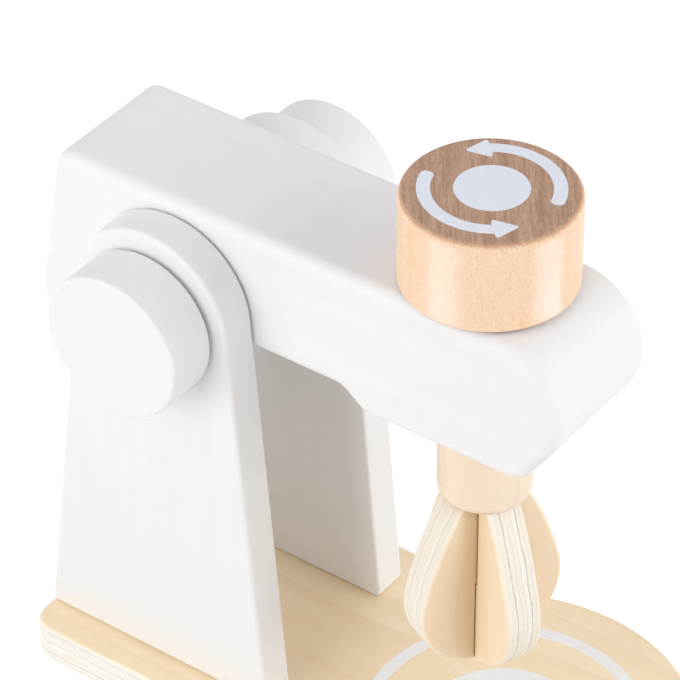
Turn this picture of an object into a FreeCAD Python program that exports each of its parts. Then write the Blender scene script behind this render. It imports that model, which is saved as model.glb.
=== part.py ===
"""Toy stand mixer: plywood base, two painted posts, a tilting head and a hand-turned whisk.

Millimetres, +Z up, +X towards the nose, -Y the right-hand side.  The origin lies on the
underside of the base, straight below the pivot of the head.
"""
import FreeCAD, Part
import Sketcher
import math
import os
import re

SIZES = {
    # base: a plywood board, straight at the back and round under the whisk
    "base_thickness": 12,
    "base_half_width": 46.5,
    "base_rear": 43,
    "base_rear_round": 8,
    "base_lobe_centre": 98.6,
    "base_lobe_radius": 57,
    "base_waist_round": 20,
    "base_edge_round": 1.2,
    # posts: two tapered boards that carry the pivot
    "pivot_height": 140.2,
    "post_top_above_pivot": 1.5,
    "post_top_radius": 26.5,
    "post_front_foot": 37.7,
    "post_rear_foot": 42.9,
    "post_thickness": 12,
    "post_outer_round": 1.3,
    "post_inner_round": 0.9,
    "post_foot_round": 2,
    # head: one block with a heel behind and a round nose in front
    "head_width": 44.7,
    "head_side_gap": 0.55,
    "head_edge_round": 3.5,
    "head_above_pivot": 31.9,
    "head_rear_reach": 42.6,
    "head_rear_round": 6,
    "heel_below_pivot": 26.2,
    "heel_rear_reach": 52.3,
    "heel_front_reach": 9,
    "heel_rear_round": 6,
    "heel_front_round": 4.6,
    "heel_notch_round": 4.2,
    "waist_below_pivot": 7.5,
    "step_middle": 59.65,
    "step_slope": 38,
    "step_round": 5,
    "nose_below_pivot": 13.4,
    "nose_reach": 127.4,
    "nose_round": 20.9,
    "nose_slope": 33.6,
    "nose_lip_round": 8,
    # pivot: a dowel with a knob glued on each end
    "axle_radius": 4,
    "knob_radius": 22.5,
    "knob_thickness": 17.2,
    "knob_edge_round": 1,
    "knob_rim_round": 2,
    "knob_bore_depth": 12,
    "knob_washer_thickness": 0.5,
    "knob_washer_radius": 10,
    "head_washer_thickness": 1.5,
    "head_washer_radius": 6.5,
    "head_washer_proud": 0.4,
    # cross dowel that the head rests on, and that stops its heel when it is open
    "stop_radius": 5,
    "stop_forward": 11.9,
    "stop_socket_depth": 8,
    # joinery between the posts and the base
    "dowel_radius": 4,
    "dowel_in_base": 9,
    "dowel_in_post": 18,
    "dowel_rear": 30,
    "dowel_front": 25,
    "screw_radius": 2,
    "screw_length": 36,
    "screw_tip_length": 5,
    "screw_tip_radius": 0.4,
    "screw_head_radius": 4,
    "screw_head_height": 2.2,
    "screw_sunk": 0.4,
    "screw_rear": 14,
    "screw_front": 9,
    "recess_width": 1.2,
    "recess_length": 4.4,
    "recess_depth": 1.4,
    # whisk drive: a dial above the head, a spindle through it and a collar below
    "whisk_forward": 90,
    "dial_radius": 25,
    "dial_height": 28.8,
    "dial_edge_round": 2.2,
    "dial_foot_round": 1,
    "dial_bore_depth": 18,
    "dial_washer_thickness": 0.5,
    "dial_washer_radius": 15,
    "spindle_radius": 5,
    "collar_radius": 13.5,
    "collar_length": 27.7,
    "collar_foot_round": 3.2,
    "collar_top_round": 0.8,
    "collar_bore_depth": 15,
    "collar_washer_thickness": 0.8,
    "collar_washer_radius": 11,
    # whisk blades: two plywood plates halved into each other
    "blade_thickness": 11,
    "blade_angle": -24,
    "blade_neck": 10.8,
    "blade_belly_radius": 23.4,
    "blade_belly_drop": 35.8,
    "blade_flank_radius": 120,
    "blade_edge_round": 1.2,
    "tenon_half_width": 8.5,
    "tenon_length": 9,
    # clearances
    "running_play": 0.1,
    "glue_play": 0.05,
    "spin_gap": 0.2,
    "rest_gap": 0.1,
    "lap_play": 0.5,
}

# places that follow from the sizes, measured in the part's own frame
POST_INNER = "(head_width / 2 + head_side_gap)"
POST_OUTER = f"({POST_INNER} + post_thickness)"
POST_MIDDLE = f"({POST_INNER} + post_thickness / 2)"
POST_TOP_CENTRE = "(pivot_height + post_top_above_pivot)"
KNOB_INNER = f"({POST_OUTER} + spin_gap + knob_washer_thickness)"
HEAD_TOP = "(pivot_height + head_above_pivot)"
WAIST_UNDERSIDE = "(pivot_height - waist_below_pivot)"
NOSE_UNDERSIDE = "(pivot_height - nose_below_pivot)"
HEEL_BOTTOM = "(pivot_height - heel_below_pivot)"
STOP_HEIGHT = f"({WAIST_UNDERSIDE} - rest_gap - stop_radius)"
DIAL_FOOT = f"({HEAD_TOP} + dial_washer_thickness + rest_gap)"
COLLAR_TOP = f"({NOSE_UNDERSIDE} - spin_gap - collar_washer_thickness)"
COLLAR_FOOT = f"({COLLAR_TOP} - collar_length)"
BELLY_HEIGHT = f"({COLLAR_FOOT} - blade_belly_drop)"
BLADE_BOTTOM = f"({BELLY_HEIGHT} - blade_belly_radius)"
TENON_TOP = f"({COLLAR_FOOT} + tenon_length)"
LAP_HEIGHT = f"(({BLADE_BOTTOM} + {COLLAR_FOOT}) / 2)"
WHISK_PLACE = ("whisk_forward", "0", "0")
CENTRE = ("0", "0", "0")
RIGHT = "-1"
LEFT = "1"
# directions of a drilled hole: the axis and the angle that turn +Z onto them
UP = ("1; 0; 0", "0")
TOWARDS_LEFT = ("1; 0; 0", "-90")
TOWARDS_RIGHT = ("1; 0; 0", "90")
# how far a cut runs past the face that it opens
OVERRUN = "1"
NEAR = 1e-4

doc = FreeCAD.newDocument("toy_stand_mixer")
sheet = doc.addObject("Spreadsheet::Sheet", "Sizes")
for row, (alias, size) in enumerate(SIZES.items(), start=1):
    sheet.set(f"A{row}", alias)
    sheet.set(f"B{row}", str(size))
    sheet.setAlias(f"B{row}", alias)
doc.recompute()


def cells(expression):
    """The expression with the name of each size written as a cell of the sheet."""
    return re.sub(r"[a-z_]+", lambda word: ("Sizes." if word[0] in SIZES else "") + word[0], expression)


def amount(expression):
    """What an expression comes to with the sheet's sizes."""
    found = sheet.evalExpression(cells(expression))
    return float(getattr(found, "Value", found))


def placing(place, turn=UP):
    """The expression of a placement at a place, turned about an axis by degrees."""
    position = "; ".join(cells(part) for part in place)
    axis, degrees = turn
    rotation = f"create(<<rotation>>; create(<<vector>>; {axis}); {cells(degrees)})"
    return f"create(<<placement>>; create(<<vector>>; {position}); {rotation})"


def new_body(name, place=CENTRE, turn=UP):
    """An empty body; its label names its file."""
    body = doc.addObject("PartDesign::Body", name)
    body.Label = name
    body.setExpression("Placement", placing(place, turn))
    return body


def new_sketch(body, role, offset=CENTRE):
    """A sketch on one of the body's own origin planes, moved within and off that plane."""
    sketch = body.newObject("Sketcher::SketchObject", f"{body.Name}_outline")
    plane = next(item for item in body.Origin.OriginFeatures if item.Role == role)
    sketch.AttachmentSupport = [(plane, "")]
    sketch.MapMode = "FlatFace"
    sketch.setExpression("AttachmentOffset", placing(offset))
    return sketch


def dimension(sketch, kind, *where, to):
    """Adds a dimension to the sketch and ties it to the sheet."""
    number = sketch.addConstraint(Sketcher.Constraint(kind, *where, amount(to)))
    sketch.setExpression(f"Constraints[{number}]", cells(to))


def hold_point(sketch, piece, end, x, y):
    """Holds an end of a piece of the sketch at (x, y)."""
    dimension(sketch, "DistanceX", -1, 1, piece, end, to=x)
    dimension(sketch, "DistanceY", -1, 1, piece, end, to=y)


def point_at(x, y):
    return FreeCAD.Vector(amount(x), amount(y), 0)


def new_line(sketch, start, end):
    return sketch.addGeometry(Part.LineSegment(start, end), False)


def new_arc(sketch, centre, radius, start, end):
    """An arc that runs counter-clockwise from one angle to the other, in radians."""
    circle = Part.Circle(centre, FreeCAD.Vector(0, 0, 1), radius)
    return sketch.addGeometry(Part.ArcOfCircle(circle, start, end), False)


def angle_of(vector):
    return math.atan2(vector.y, vector.x)


def round_corner(sketch, before, corner, after, radius):
    """The arc that rounds a corner: its number, its two ends and the two tangent points."""
    arriving = (corner - before).normalize()
    leaving = (after - corner).normalize()
    turn = math.atan2(arriving.x * leaving.y - arriving.y * leaving.x, arriving.dot(leaving))
    reach = radius * math.tan(abs(turn) / 2)
    first = corner - arriving * reach
    last = corner + leaving * reach
    side = math.copysign(1, turn)
    centre = first + FreeCAD.Vector(-arriving.y, arriving.x, 0) * (side * radius)
    ends = (angle_of(first - centre), angle_of(last - centre))
    if turn > 0:
        return new_arc(sketch, centre, radius, ends[0], ends[1]), 1, 2, first, last
    return new_arc(sketch, centre, radius, ends[1], ends[0]), 2, 1, first, last


def draw_outline(sketch, corners):
    """A closed outline through corners (x, y, radius); a radius of None leaves one sharp."""
    points = [point_at(x, y) for x, y, radius in corners]
    count = len(points)
    rounds = {}
    for index, (x, y, radius) in enumerate(corners):
        if radius:
            neighbours = points[index - 1], points[index], points[(index + 1) % count]
            rounds[index] = round_corner(sketch, *neighbours, amount(radius))
    lines = []
    for index in range(count):
        following = (index + 1) % count
        start = rounds[index][4] if index in rounds else points[index]
        end = rounds[following][3] if following in rounds else points[following]
        lines.append(new_line(sketch, start, end))
    for index, (x, y, radius) in enumerate(corners):
        arriving, leaving = lines[index - 1], lines[index]
        if index not in rounds:
            sketch.addConstraint(Sketcher.Constraint("Coincident", arriving, 2, leaving, 1))
            hold_point(sketch, leaving, 1, x, y)
            continue
        arc, first_end, last_end = rounds[index][:3]
        sketch.addConstraint(Sketcher.Constraint("Tangent", arriving, 2, arc, first_end))
        sketch.addConstraint(Sketcher.Constraint("Tangent", leaving, 1, arc, last_end))
        dimension(sketch, "Radius", arc, to=radius)
        corner = sketch.addGeometry(Part.Point(points[index]), True)
        hold_point(sketch, corner, 1, x, y)
        for line in (arriving, leaving):
            sketch.addConstraint(Sketcher.Constraint("PointOnObject", corner, 1, line))


def draw_round_end(sketch, centre, radius, path, leg_radius=None):
    """A path of sharp points, closed by an arc about the centre with two tangent legs.

    The path runs counter-clockwise, so its last point's leg meets the start of the arc.  The
    legs are straight, or bowed outwards to the leg radius.
    """
    middle = point_at(*centre)
    size = amount(radius)
    points = [point_at(x, y) for x, y in path]
    bow = leg_radius and amount(leg_radius)

    def touch(point, side):
        apart = (point - middle).Length
        cosine = size / apart
        if bow:
            cosine = (2 * bow * size - size ** 2 - apart ** 2) / (2 * apart * (bow - size))
        return angle_of(point - middle) + side * math.acos(cosine)

    def new_leg(start, end, rim):
        if not bow:
            return new_line(sketch, start, end)
        leg_centre = rim + (middle - rim) * (bow / size)
        return new_arc(sketch, leg_centre, bow, angle_of(start - leg_centre), angle_of(end - leg_centre))

    angles = touch(points[-1], 1), touch(points[0], -1)
    arc = new_arc(sketch, middle, size, *angles)
    rims = [middle + FreeCAD.Vector(math.cos(angle), math.sin(angle), 0) * size for angle in angles]
    pieces = [new_line(sketch, *pair) for pair in zip(points, points[1:])]
    pieces.append(new_leg(points[-1], rims[0], rims[0]))
    pieces.insert(0, new_leg(rims[1], points[0], rims[1]))
    for first, second, place in zip(pieces, pieces[1:], path):
        sketch.addConstraint(Sketcher.Constraint("Coincident", first, 2, second, 1))
        hold_point(sketch, second, 1, *place)
    sketch.addConstraint(Sketcher.Constraint("Tangent", pieces[-1], 2, arc, 1))
    sketch.addConstraint(Sketcher.Constraint("Tangent", pieces[0], 1, arc, 2))
    hold_point(sketch, arc, 3, *centre)
    dimension(sketch, "Radius", arc, to=radius)
    if bow:
        dimension(sketch, "Radius", pieces[0], to=leg_radius)
        dimension(sketch, "Radius", pieces[-1], to=leg_radius)


def pad(body, sketch, length, symmetric=False):
    """Thickens a sketch along its plane's normal, or equally to both sides."""
    feature = body.newObject("PartDesign::Pad", f"{body.Name}_pad")
    feature.Profile = sketch
    feature.SideType = "Symmetric" if symmetric else "One side"
    feature.setExpression("Length", cells(length))
    sketch.Visibility = False
    doc.recompute()


def turn_profile(body, sketch):
    """Revolves a sketch all round about its own vertical axis."""
    feature = body.newObject("PartDesign::Revolution", f"{body.Name}_turning")
    feature.Profile = sketch
    feature.ReferenceAxis = (sketch, ["V_Axis"])
    feature.Angle = 360
    sketch.Visibility = False
    doc.recompute()
    return feature


def turned_piece(name, role, corners, place=CENTRE):
    """A lathe-turned body: upright from the XZ plane, or across from the XY plane."""
    body = new_body(name, place)
    sketch = new_sketch(body, role)
    draw_outline(sketch, corners)
    turn_profile(body, sketch)


def volume_of(body):
    return body.Tip.Shape.Volume


def cut_away(body, kind, name, sizes, place, turn=UP):
    """Takes a cylinder, cone or box out of the body and makes sure that it cuts."""
    before = volume_of(body)
    feature = body.newObject(f"PartDesign::Subtractive{kind}", name)
    for size, expression in sizes.items():
        feature.setExpression(size, cells(expression))
    feature.setExpression("Placement", placing(place, turn))
    doc.recompute()
    if volume_of(body) >= before - NEAR:
        raise ValueError(f"{name} cuts nothing from {body.Label}")


def drill(body, name, radius, depth, place, turn=UP):
    """A round hole that starts a little before its place and runs to the given depth."""
    back = {UP: (0, 0, -1), TOWARDS_LEFT: (0, -1, 0), TOWARDS_RIGHT: (0, 1, 0)}[turn]
    start = [f"{part} + {step} * {OVERRUN}" for part, step in zip(place, back)]
    cut_away(body, "Cylinder", name, {"Radius": radius, "Height": f"{depth} + {OVERRUN}"}, start, turn)


def round_edges(body, name, radius, wanted):
    """Rounds the edges of the body so far whose bounding box passes the test."""
    tip = body.Tip
    edges = enumerate(tip.Shape.Edges, start=1)
    names = [f"Edge{index}" for index, edge in edges if wanted(edge.BoundBox)]
    feature = body.newObject("PartDesign::Fillet", name)
    feature.Base = (tip, names)
    feature.setExpression("Radius", cells(radius))
    doc.recompute()


def lies_at(low, high, level):
    return abs(low - level) < NEAR and abs(high - level) < NEAR


def base_board():
    """The board: a straight part under the posts and a round lobe under the whisk."""
    body = new_body("base_board")
    straight = new_sketch(body, "XY_Plane")
    draw_outline(straight, [
        ("-base_rear", "-base_half_width", "base_rear_round"),
        ("base_lobe_centre", "-base_half_width", None),
        ("base_lobe_centre", "base_half_width", None),
        ("-base_rear", "base_half_width", "base_rear_round"),
    ])
    pad(body, straight, "base_thickness")
    lobe = new_sketch(body, "XY_Plane")
    circle = lobe.addGeometry(Part.Circle(), False)
    hold_point(lobe, circle, 3, "base_lobe_centre", "0")
    dimension(lobe, "Radius", circle, to="base_lobe_radius")
    pad(body, lobe, "base_thickness")
    half = amount("base_half_width")
    round_edges(body, "waist_round", "base_waist_round",
                lambda box: box.ZLength > NEAR and box.XLength < NEAR and box.YLength < NEAR
                and abs(abs(box.YMin) - half) < NEAR and box.XMin > 0)
    thickness = amount("base_thickness")
    round_edges(body, "board_edges", "base_edge_round",
                lambda box: lies_at(box.ZMin, box.ZMax, 0) or lies_at(box.ZMin, box.ZMax, thickness))
    for side in (RIGHT, LEFT):
        for along in ("-dowel_rear", "dowel_front"):
            place = (along, f"{side} * {POST_MIDDLE}", "base_thickness - dowel_in_base - glue_play")
            cut_away(body, "Cylinder", "dowel_socket", {
                "Radius": "dowel_radius + glue_play",
                "Height": f"dowel_in_base + glue_play + {OVERRUN}",
            }, place)
        for along in ("-screw_rear", "screw_front"):
            place = (along, f"{side} * {POST_MIDDLE}", "0")
            drill(body, "screw_hole", "screw_radius + glue_play", f"base_thickness + {OVERRUN}", place)
            cut_away(body, "Cylinder", "screw_head_hole", {
                "Radius": "screw_head_radius + glue_play",
                "Height": f"screw_sunk + {OVERRUN}",
            }, (along, f"{side} * {POST_MIDDLE}", f"-{OVERRUN}"))
            cut_away(body, "Cone", "countersink", {
                "Radius1": "screw_head_radius + glue_play",
                "Radius2": "screw_radius + glue_play",
                "Height": "screw_head_height",
            }, (along, f"{side} * {POST_MIDDLE}", "screw_sunk"))


def post(name, side):
    """A tapered post with a round top; its outer edges are well rounded."""
    body = new_body(name)
    outer_face = POST_OUTER if side == LEFT else f"-{POST_INNER}"
    sketch = new_sketch(body, "XZ_Plane", ("0", "0", f"-1 * ({outer_face})"))
    draw_round_end(sketch, ("0", POST_TOP_CENTRE), "post_top_radius", [
        ("-post_rear_foot", "base_thickness"),
        ("post_front_foot", "base_thickness"),
    ])
    pad(body, sketch, "post_thickness")
    foot = amount("base_thickness")
    round_edges(body, "foot_corners", "post_foot_round",
                lambda box: lies_at(box.ZMin, box.ZMax, foot) and box.YLength > NEAR and box.XLength < NEAR)
    for edge_name, radius, face in (("outer_edges", "post_outer_round", POST_OUTER),
                                    ("inner_edges", "post_inner_round", POST_INNER)):
        level = amount(f"{side} * {face}")
        round_edges(body, edge_name, radius, lambda box: lies_at(box.YMin, box.YMax, level))
    outwards = TOWARDS_LEFT if side == LEFT else TOWARDS_RIGHT
    inner = f"{side} * {POST_INNER}"
    drill(body, "pivot_hole", "axle_radius + running_play", f"post_thickness + {OVERRUN}",
          ("0", inner, "pivot_height"), outwards)
    drill(body, "stop_socket", "stop_radius + glue_play", "stop_socket_depth + glue_play",
          ("stop_forward", inner, STOP_HEIGHT), outwards)
    for along in ("-dowel_rear", "dowel_front"):
        drill(body, "dowel_socket", "dowel_radius + glue_play", "dowel_in_post + glue_play",
              (along, f"{side} * {POST_MIDDLE}", "base_thickness"))
    for along in ("-screw_rear", "screw_front"):
        drill(body, "screw_pilot", "screw_radius + glue_play",
              "screw_sunk + screw_length - base_thickness + glue_play",
              (along, f"{side} * {POST_MIDDLE}", "base_thickness"))


def fastener_group(name, places, corners):
    """Upright turned fasteners under the right post, mirrored to the left one."""
    body = new_body(name)
    body.AllowCompound = True
    turnings = []
    for along in places:
        sketch = new_sketch(body, "XZ_Plane", (along, "0", POST_MIDDLE))
        draw_outline(sketch, corners)
        turnings.append(turn_profile(body, sketch))
    mirror = body.newObject("PartDesign::Mirrored", f"{name}_pair")
    mirror.Originals = turnings
    plane = next(item for item in body.Origin.OriginFeatures if item.Role == "XZ_Plane")
    mirror.MirrorPlane = (plane, [""])
    body.Tip = mirror
    doc.recompute()
    return body


def post_dowels():
    fastener_group("post_dowels", ("-dowel_rear", "dowel_front"), [
        ("0", "base_thickness - dowel_in_base", None),
        ("dowel_radius", "base_thickness - dowel_in_base", None),
        ("dowel_radius", "base_thickness + dowel_in_post", None),
        ("0", "base_thickness + dowel_in_post", None),
    ])


def post_screws():
    """Countersunk wood screws, driven up from below, with a cross recess."""
    places = ("-screw_rear", "screw_front")
    body = fastener_group("post_screws", places, [
        ("0", "screw_sunk", None),
        ("screw_head_radius", "screw_sunk", None),
        ("screw_radius", "screw_sunk + screw_head_height", None),
        ("screw_radius", "screw_sunk + screw_length - screw_tip_length", None),
        ("screw_tip_radius", "screw_sunk + screw_length", None),
        ("0", "screw_sunk + screw_length", None),
    ])
    height = f"recess_depth + {OVERRUN}"
    for side in (RIGHT, LEFT):
        for along in places:
            for length, width in (("recess_length", "recess_width"), ("recess_width", "recess_length")):
                corner = (f"{along} - {length} / 2", f"{side} * {POST_MIDDLE} - {width} / 2",
                          f"screw_sunk - {OVERRUN}")
                cut_away(body, "Box", "cross_recess",
                         {"Length": length, "Width": width, "Height": height}, corner)


def stop_bar():
    """The cross dowel, glued into a socket of each post."""
    end = f"({POST_INNER} + stop_socket_depth)"
    turned_piece("stop_bar", "XY_Plane", [
        ("0", f"-{end}", None),
        ("stop_radius", f"-{end}", None),
        ("stop_radius", end, None),
        ("0", end, None),
    ], ("stop_forward", "0", STOP_HEIGHT))


def head_block():
    """The head, cut from one block, with its heel, waist, stepped nose and bores."""
    body = new_body("head_block")
    sketch = new_sketch(body, "XZ_Plane")
    half_step = f"(({WAIST_UNDERSIDE} - {NOSE_UNDERSIDE}) / tan(step_slope) / 2)"
    nose_top = "(nose_reach - nose_round + nose_round * tan((90 + nose_slope) / 2))"
    nose_foot = f"({nose_top} - ({HEAD_TOP} - {NOSE_UNDERSIDE}) * tan(nose_slope))"
    draw_outline(sketch, [
        ("-heel_rear_reach", HEEL_BOTTOM, "heel_rear_round"),
        ("-heel_front_reach", HEEL_BOTTOM, "heel_front_round"),
        ("-heel_front_reach", WAIST_UNDERSIDE, "heel_notch_round"),
        (f"step_middle - {half_step}", WAIST_UNDERSIDE, "step_round"),
        (f"step_middle + {half_step}", NOSE_UNDERSIDE, "step_round"),
        (nose_foot, NOSE_UNDERSIDE, "nose_lip_round"),
        (nose_top, HEAD_TOP, "nose_round"),
        ("-head_rear_reach", HEAD_TOP, "head_rear_round"),
    ])
    pad(body, sketch, "head_width", symmetric=True)
    half = amount("head_width / 2")
    round_edges(body, "side_edges", "head_edge_round",
                lambda box: lies_at(box.YMin, box.YMax, half) or lies_at(box.YMin, box.YMax, -half))
    drill(body, "pivot_bore", "axle_radius + running_play", f"head_width + {OVERRUN}",
          ("0", "-head_width / 2", "pivot_height"), TOWARDS_LEFT)
    seat_depth = "head_washer_thickness - head_washer_proud"
    for side, inwards in ((RIGHT, TOWARDS_LEFT), (LEFT, TOWARDS_RIGHT)):
        drill(body, "washer_seat", "head_washer_radius + glue_play", seat_depth,
              ("0", f"{side} * head_width / 2", "pivot_height"), inwards)
    drill(body, "spindle_bore", "spindle_radius + running_play",
          f"{HEAD_TOP} - {NOSE_UNDERSIDE} + {OVERRUN}", ("whisk_forward", "0", NOSE_UNDERSIDE))


def ring(name, role, bore, radius, start, end, place=CENTRE):
    """A flat washer between two levels along its axis."""
    turned_piece(name, role, [
        (bore, start, None),
        (radius, start, None),
        (radius, end, None),
        (bore, end, None),
    ], place)


def pivot_pieces():
    """The axle with its two knobs, the washers under them and those beside the head."""
    across = ("0", "0", "pivot_height")
    end = f"({KNOB_INNER} + knob_bore_depth - glue_play)"
    turned_piece("pivot_axle", "XY_Plane", [
        ("0", f"-{end}", None),
        ("axle_radius", f"-{end}", None),
        ("axle_radius", end, None),
        ("0", end, None),
    ], across)
    for side_name, side in (("right", RIGHT), ("left", LEFT)):
        inner = f"{side} * {KNOB_INNER}"
        outer = f"{side} * ({KNOB_INNER} + knob_thickness)"
        bore_end = f"{side} * ({KNOB_INNER} + knob_bore_depth)"
        turned_piece(f"{side_name}_knob", "XY_Plane", [
            ("0", bore_end, None),
            ("axle_radius + glue_play", bore_end, None),
            ("axle_radius + glue_play", inner, None),
            ("knob_radius", inner, "knob_rim_round"),
            ("knob_radius", outer, "knob_edge_round"),
            ("0", outer, None),
        ], across)
        ring(f"{side_name}_knob_washer", "XY_Plane", "axle_radius + glue_play", "knob_washer_radius",
             f"{side} * ({KNOB_INNER} - knob_washer_thickness)", inner, across)
        face = "(head_width / 2 + head_washer_proud)"
        ring(f"{side_name}_head_washer", "XY_Plane", "axle_radius + running_play", "head_washer_radius",
             f"{side} * ({face} - head_washer_thickness)", f"{side} * {face}", across)


def whisk_drive():
    """The dial, its washer, the spindle and the collar that holds the blades."""
    dial_top = f"({DIAL_FOOT} + dial_height)"
    dial_bore_end = f"({DIAL_FOOT} + dial_bore_depth)"
    turned_piece("dial_knob", "XZ_Plane", [
        ("0", dial_bore_end, None),
        ("spindle_radius + glue_play", dial_bore_end, None),
        ("spindle_radius + glue_play", DIAL_FOOT, None),
        ("dial_radius", DIAL_FOOT, "dial_foot_round"),
        ("dial_radius", dial_top, "dial_edge_round"),
        ("0", dial_top, None),
    ], WHISK_PLACE)
    ring("dial_washer", "XZ_Plane", "spindle_radius + running_play", "dial_washer_radius",
         HEAD_TOP, f"{HEAD_TOP} + dial_washer_thickness", WHISK_PLACE)
    collar_bore_end = f"({COLLAR_TOP} - collar_bore_depth)"
    turned_piece("whisk_spindle", "XZ_Plane", [
        ("0", f"{collar_bore_end} + glue_play", None),
        ("spindle_radius", f"{collar_bore_end} + glue_play", None),
        ("spindle_radius", f"{dial_bore_end} - glue_play", None),
        ("0", f"{dial_bore_end} - glue_play", None),
    ], WHISK_PLACE)
    ring("collar_washer", "XZ_Plane", "spindle_radius + glue_play", "collar_washer_radius",
         COLLAR_TOP, f"{COLLAR_TOP} + collar_washer_thickness", WHISK_PLACE)
    body = new_body("whisk_collar", WHISK_PLACE, ("0; 0; 1", "blade_angle"))
    sketch = new_sketch(body, "XZ_Plane")
    draw_outline(sketch, [
        ("0", COLLAR_FOOT, None),
        ("collar_radius", COLLAR_FOOT, "collar_foot_round"),
        ("collar_radius", COLLAR_TOP, "collar_top_round"),
        ("spindle_radius + glue_play", COLLAR_TOP, None),
        ("spindle_radius + glue_play", collar_bore_end, None),
        ("0", collar_bore_end, None),
    ])
    turn_profile(body, sketch)
    length = "2 * (tenon_half_width + glue_play)"
    width = "blade_thickness + 2 * glue_play"
    for long_way, short_way in ((length, width), (width, length)):
        corner = (f"-({long_way}) / 2", f"-({short_way}) / 2", f"{COLLAR_FOOT} - {OVERRUN}")
        cut_away(body, "Box", "blade_mortise", {
            "Length": long_way,
            "Width": short_way,
            "Height": f"tenon_length + glue_play + {OVERRUN}",
        }, corner)


def blade(name, turn, slot_from, slot_to):
    """A plywood plate: tenon, slightly bowed flanks and a round belly, with half of the cross lap."""
    body = new_body(name, WHISK_PLACE, ("0; 0; 1", turn))
    sketch = new_sketch(body, "XZ_Plane")
    draw_round_end(sketch, ("0", BELLY_HEIGHT), "blade_belly_radius", [
        ("blade_neck", COLLAR_FOOT),
        ("tenon_half_width", COLLAR_FOOT),
        ("tenon_half_width", TENON_TOP),
        ("-tenon_half_width", TENON_TOP),
        ("-tenon_half_width", COLLAR_FOOT),
        ("-blade_neck", COLLAR_FOOT),
    ], "blade_flank_radius")
    pad(body, sketch, "blade_thickness", symmetric=True)
    half = amount("blade_thickness / 2")
    foot = amount(COLLAR_FOOT)
    round_edges(body, "plate_edges", "blade_edge_round",
                lambda box: (lies_at(box.YMin, box.YMax, half) or lies_at(box.YMin, box.YMax, -half))
                and box.ZMax < foot + NEAR and not lies_at(box.ZMin, box.ZMax, foot))
    slot_width = "(blade_thickness + 2 * lap_play)"
    cut_away(body, "Box", "lap_slot", {
        "Length": slot_width,
        "Width": f"blade_thickness + 2 * {OVERRUN}",
        "Height": f"{slot_to} - {slot_from}",
    }, (f"-{slot_width} / 2", f"-blade_thickness / 2 - {OVERRUN}", slot_from))


def build():
    """Makes every sub-part."""
    base_board()
    post("right_post", RIGHT)
    post("left_post", LEFT)
    post_dowels()
    post_screws()
    stop_bar()
    head_block()
    pivot_pieces()
    whisk_drive()
    blade("whisk_blade_along", "blade_angle",
          f"({LAP_HEIGHT} - lap_play / 2)", f"({TENON_TOP} + {OVERRUN})")
    blade("whisk_blade_across", "blade_angle - 90",
          f"({BLADE_BOTTOM} - {OVERRUN})", f"({LAP_HEIGHT} + lap_play / 2)")
    doc.recompute()


def check_and_export():
    """Stops at a failed feature or shape, then writes a STEP file for each body."""
    for item in doc.Objects:
        if "Invalid" in item.State or "Error" in item.State:
            raise ValueError(f"{item.Label} failed: {item.State}")
    bodies = [item for item in doc.Objects if item.TypeId == "PartDesign::Body"]
    for body in bodies:
        if body.Shape.isNull() or not body.Shape.isValid():
            raise ValueError(f"{body.Label} has no sound shape")
    os.makedirs("parts", exist_ok=True)
    for body in bodies:
        body.Shape.exportStep(f"parts/{body.Label}.step")
        box = body.Shape.BoundBox
        print(f"{body.Label}: {len(body.Shape.Solids)} solids, {body.Shape.Volume:.0f} mm3, "
              f"x {box.XMin:.1f} to {box.XMax:.1f}, y {box.YMin:.1f} to {box.YMax:.1f}, "
              f"z {box.ZMin:.1f} to {box.ZMax:.1f}")


build()
check_and_export()
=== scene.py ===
"""The looks of a wooden toy stand mixer: painted posts and head, a plywood base and whisk, a turned
beech dial and collar, the pale printed marks, and a plain white studio around them.
"""

import math

import bmesh
import bpy
import numpy as np
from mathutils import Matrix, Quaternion, Vector


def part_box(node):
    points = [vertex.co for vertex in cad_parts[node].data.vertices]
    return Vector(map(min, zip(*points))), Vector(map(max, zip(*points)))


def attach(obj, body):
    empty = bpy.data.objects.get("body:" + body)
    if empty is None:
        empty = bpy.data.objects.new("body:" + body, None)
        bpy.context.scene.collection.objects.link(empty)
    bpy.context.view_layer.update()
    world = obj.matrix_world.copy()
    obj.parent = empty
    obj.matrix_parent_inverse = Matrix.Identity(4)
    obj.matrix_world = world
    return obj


X = (1, 0, 0)
Y = (0, 1, 0)
Z = (0, 0, 1)

# printed marks: the film of ink, in metres
FILM_THICKNESS = 0.00006
FILM_SUNK = 0.00004
CIRCLE_STEPS = 128

# printed marks on the dial, about a centre that the stamp missed a little
DIAL_PRINT_OFFSET = Vector((-0.0003, 0.0008, 0))
DIAL_DISC_RADIUS = 0.0103
ARROW_INNER_RADIUS = 0.0164
ARROW_OUTER_RADIUS = 0.0202
ARROW_INNER_BARB_RADIUS = 0.0139
ARROW_OUTER_BARB_RADIUS = 0.0223
ARROW_TIP_RADIUS = 0.0185
ARROW_TAIL_ANGLE = math.radians(11.3)
ARROW_INNER_BARB_ANGLE = math.radians(123.5)
ARROW_OUTER_BARB_ANGLE = math.radians(127.5)
ARROW_TIP_ANGLE = math.radians(148)
ARROW_NOTCH_ANGLE = math.radians(1.5)
ARROW_TAIL_ROUND = 0.0017
ARROW_TAIL_SPARE = 1.3
ARROW_HEAD_ROUND = 0.0012
ARROW_STEPS = 40
CORNER_STEPS = 5

# printed marks on the base
BOWL_RING_INNER_RADIUS = 0.0386
BOWL_RING_OUTER_RADIUS = 0.0426
BOWL_DISC_RADIUS = 0.0233

# the woods: plies in each board, the heading of the dial's rays, and where growth rings have their pith
BASE_PLIES = 9
BLADE_PLIES = 7
DIAL_RAY_ANGLE = math.radians(126)
BOARD_PITH = (0, 0.02, -0.06)
DIAL_PITH = (0, 0.11, 0.02)
RING_WOBBLE = (9, 60, 60)

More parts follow.
